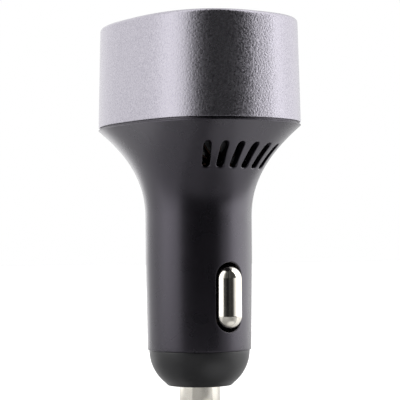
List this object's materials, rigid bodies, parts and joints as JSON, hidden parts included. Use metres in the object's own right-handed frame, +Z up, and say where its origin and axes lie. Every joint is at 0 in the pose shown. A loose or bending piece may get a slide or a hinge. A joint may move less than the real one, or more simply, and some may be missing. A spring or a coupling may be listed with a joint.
{
  "type": "car usb charger plug",
  "caption": "Oval metal-headed USB charger on a flared, vented neck with a 12 V plug barrel, sprung side contacts and a sprung tip.",
  "frame": {"origin": "tip of the centre contact, on the plug's axis", "axes": "+Z up from the tip to the head, +X along the head's long side and through the side contacts"},
  "size_m": [0.0434, 0.0336, 0.0776],
  "materials": {
    "housing_abs": "charcoal moulded ABS, fine satin grain",
    "head_aluminium": "bead-blasted anodised aluminium, warm grey",
    "face_plastic": "black moulded plastic, fine grain",
    "lens_polycarbonate": "clear polycarbonate, polished",
    "nose_plastic": "black moulded plastic",
    "nickel_plate": "nickel-plated steel, polished",
    "spring_steel": "spring steel, drawn and rolled",
    "brass_strip": "rolled brass strip",
    "circuit_board": "glass-fibre laminate with green solder mask",
    "screw_steel": "zinc-plated steel",
    "port_steel": "nickel-plated folded steel",
    "port_plastic": "white moulded plastic",
    "gold_plate": "gold-plated contact pads",
    "ferrite": "sintered ferrite, dark grey",
    "copper_wire": "enamelled copper wire",
    "capacitor_can": "aluminium can in a dark blue sleeve",
    "chip_epoxy": "moulded epoxy",
    "fuse_ceramic": "cream ceramic",
    "lamp_epoxy": "pale epoxy"
  },
  "bodies": {
    "plug": {"housing": "housing_abs", "head_shell": "head_aluminium", "face_plate": "face_plastic", "indicator_lens": "lens_polycarbonate", "nose_cap": "nose_plastic", "centre_spring": "spring_steel", "tip_terminal": "brass_strip", "contact_spring_right": "spring_steel", "contact_spring_left": "spring_steel", "main_board": "circuit_board", "port_board": "circuit_board", "board_screws": "screw_steel", "usb_shell_left": "port_steel", "usb_shell_right": "port_steel", "usb_tongue_left": "port_plastic", "usb_tongue_right": "port_plastic", "usb_pins_left": "gold_plate", "usb_pins_right": "gold_plate", "choke_core": "ferrite", "choke_winding": "copper_wire", "input_capacitor": "capacitor_can", "output_capacitor": "capacitor_can", "converter_chip": "chip_epoxy", "rectifier_diode": "chip_epoxy", "input_fuse": "fuse_ceramic", "indicator_lamp": "lamp_epoxy"},
    "right_contact": {"side_contact_right": "nickel_plate"},
    "left_contact": {"side_contact_left": "nickel_plate"},
    "tip": {"centre_contact": "nickel_plate"}
  },
  "joints": [
    {"name": "right_contact_press", "type": "slide", "parent": "plug", "child": "right_contact", "axis": [-1, 0, 0], "range_m": [0, 0.0021], "stiffness_N_per_m": 2000, "springref_m": -0.001, "deforming": ["contact_spring_right"]},
    {"name": "left_contact_press", "type": "slide", "parent": "plug", "child": "left_contact", "axis": [1, 0, 0], "range_m": [0, 0.0021], "stiffness_N_per_m": 2000, "springref_m": -0.001, "deforming": ["contact_spring_left"]},
    {"name": "tip_press", "type": "slide", "parent": "plug", "child": "tip", "axis": [0, 0, 1], "range_m": [0, 0.0035], "stiffness_N_per_m": 1200, "springref_m": -0.002, "deforming": ["centre_spring"]}
  ]
}
